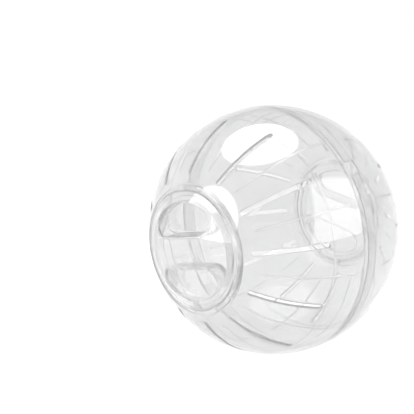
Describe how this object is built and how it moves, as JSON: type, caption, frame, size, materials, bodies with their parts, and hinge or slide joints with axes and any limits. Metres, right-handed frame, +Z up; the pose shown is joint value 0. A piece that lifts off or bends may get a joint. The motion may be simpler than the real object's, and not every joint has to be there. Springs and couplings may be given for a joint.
{
  "type": "pet exercise ball",
  "caption": "Clear hollow ball for a small pet, two air-slotted half shells that push together, with a twist-lock door at each pole.",
  "frame": {"origin": "centre of the ball", "axes": "+Z up, the door axis along Y with the front door facing -Y, +X to the right seen from the front"},
  "size_m": [0.145, 0.145, 0.145],
  "materials": {
    "clear_shell": "colourless clear polystyrene, polished, with faint scuffs from rolling",
    "clear_door": "colourless clear polystyrene, polished, slightly thicker than the shell"
  },
  "bodies": {
    "front_shell": {"front_half": "clear_shell"},
    "rear_shell": {"rear_half": "clear_shell"},
    "front_cap": {"front_door": "clear_door"},
    "rear_cap": {"rear_door": "clear_door"}
  },
  "joints": [
    {"name": "halves_apart", "type": "slide", "parent": "front_shell", "child": "rear_shell", "axis": [0, 1, 0], "range_m": [0, 0.08]},
    {"name": "front_door_twist", "type": "hinge", "parent": "front_shell", "child": "front_cap", "pos_m": [0, -0.062, 0], "axis": [0, -1, 0], "range_deg": [0, 30]},
    {"name": "rear_door_twist", "type": "hinge", "parent": "rear_shell", "child": "rear_cap", "pos_m": [0, 0.062, 0], "axis": [0, 1, 0], "range_deg": [0, 30]}
  ]
}
